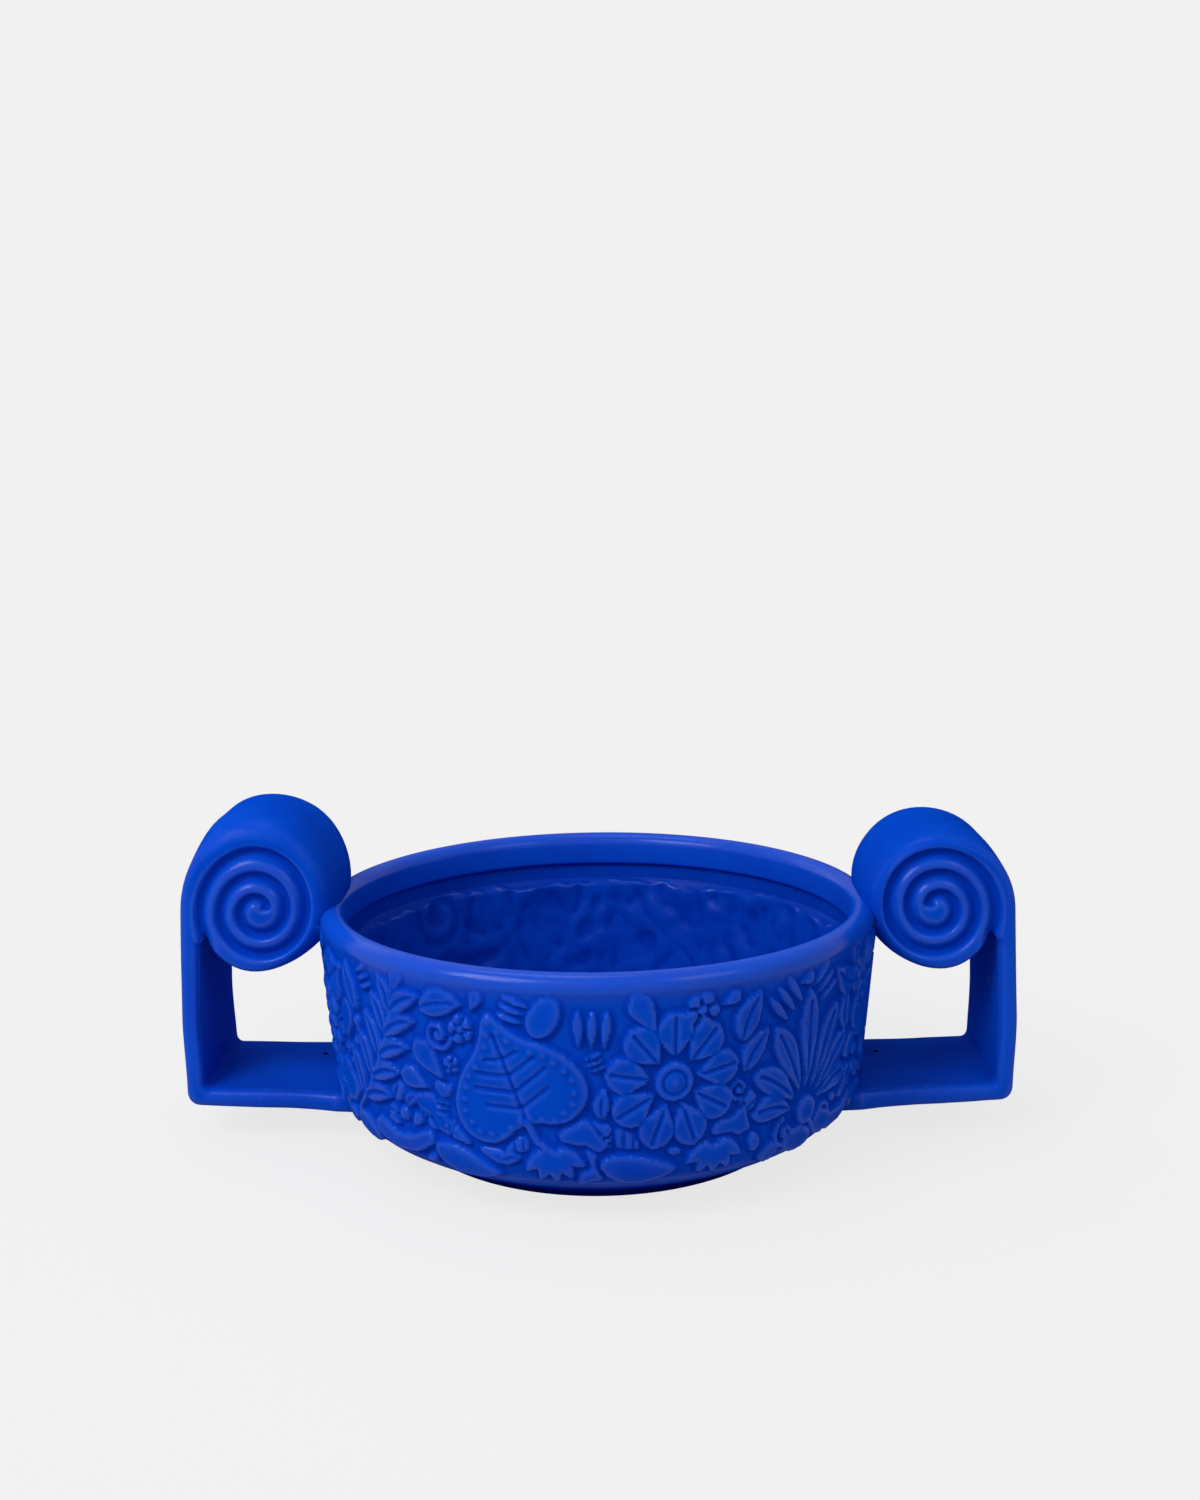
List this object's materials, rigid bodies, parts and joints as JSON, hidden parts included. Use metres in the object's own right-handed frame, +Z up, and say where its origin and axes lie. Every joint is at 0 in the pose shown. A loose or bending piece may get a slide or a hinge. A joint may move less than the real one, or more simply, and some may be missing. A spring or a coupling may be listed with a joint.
{
  "type": "two-handled bowl vase",
  "caption": "Low round terracotta bowl vase with a relief frieze, a thick rolled rim, a low foot ring and two strap handles that roll over into scrolls.",
  "frame": {"origin": "centre of the foot ring's resting face, at the bottom centre of the bounding box", "axes": "+Z up, +X through the right-hand handle along the longest extent, -Y is the front"},
  "size_m": [0.439, 0.3, 0.1723],
  "materials": {
    "blue_slip": "matt cobalt blue slip with a faint sheen",
    "foot_slip": "thin blue slip, worn where it stands"
  },
  "bodies": {
    "root": {"bowl_wall": "blue_slip", "bowl_floor": "blue_slip", "foot_ring": "foot_slip", "rim_band": "blue_slip", "left_handle": "blue_slip", "right_handle": "blue_slip", "left_scroll_wad": "blue_slip", "right_scroll_wad": "blue_slip"}
  },
  "joints": []
}
